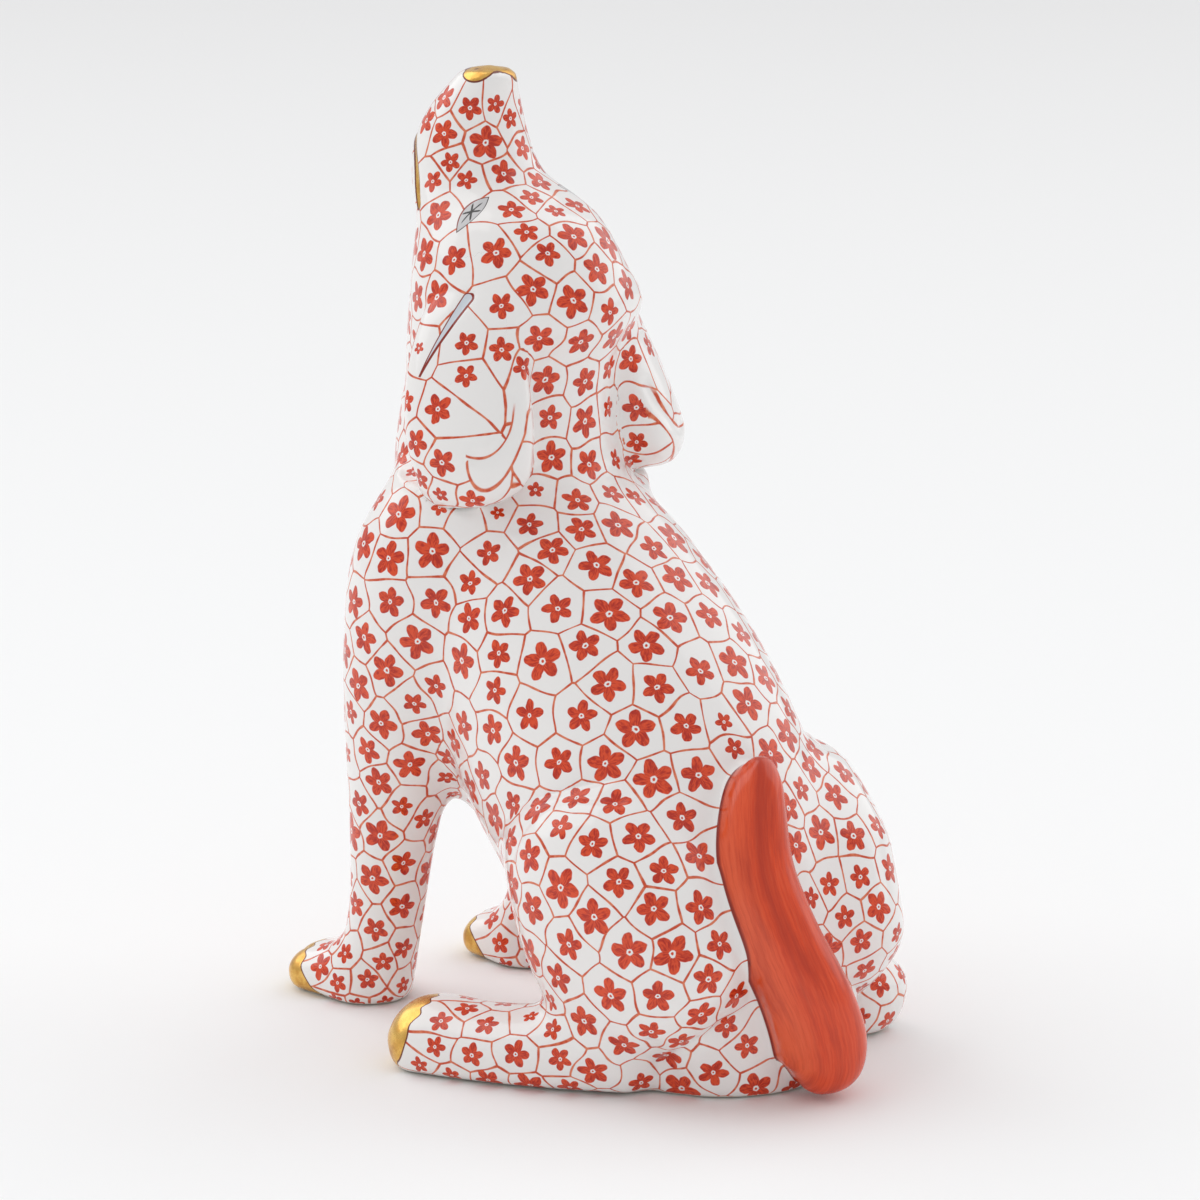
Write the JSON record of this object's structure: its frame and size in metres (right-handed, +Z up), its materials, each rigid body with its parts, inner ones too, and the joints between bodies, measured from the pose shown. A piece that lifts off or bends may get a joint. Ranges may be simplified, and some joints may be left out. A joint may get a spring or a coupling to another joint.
{
  "type": "porcelain dog figurine",
  "caption": "Sitting hound figurine with raised muzzle and hanging ears, hollow cast, with limbs and tail as separate castings and a flat vented base.",
  "frame": {"origin": "on the ground at the middle of the seat, on the flat unglazed base of the torso", "axes": "+Z up, the dog looks along -Y, its left side is +X"},
  "size_m": [0.0575, 0.0743, 0.106],
  "materials": {
    "glazed_porcelain": "white hard-paste porcelain under a clear glossy glaze, hand-painted in iron red, with gilded nose, lips and toes",
    "iron_red_enamel": "opaque iron-red overglaze enamel in long brush strokes on white porcelain, glossy"
  },
  "bodies": {
    "root": {"torso": "glazed_porcelain", "head": "glazed_porcelain", "left_ear": "glazed_porcelain", "right_ear": "glazed_porcelain", "left_foreleg": "glazed_porcelain", "right_foreleg": "glazed_porcelain", "left_hind_leg": "glazed_porcelain", "right_hind_leg": "glazed_porcelain", "tail": "iron_red_enamel"}
  },
  "joints": []
}
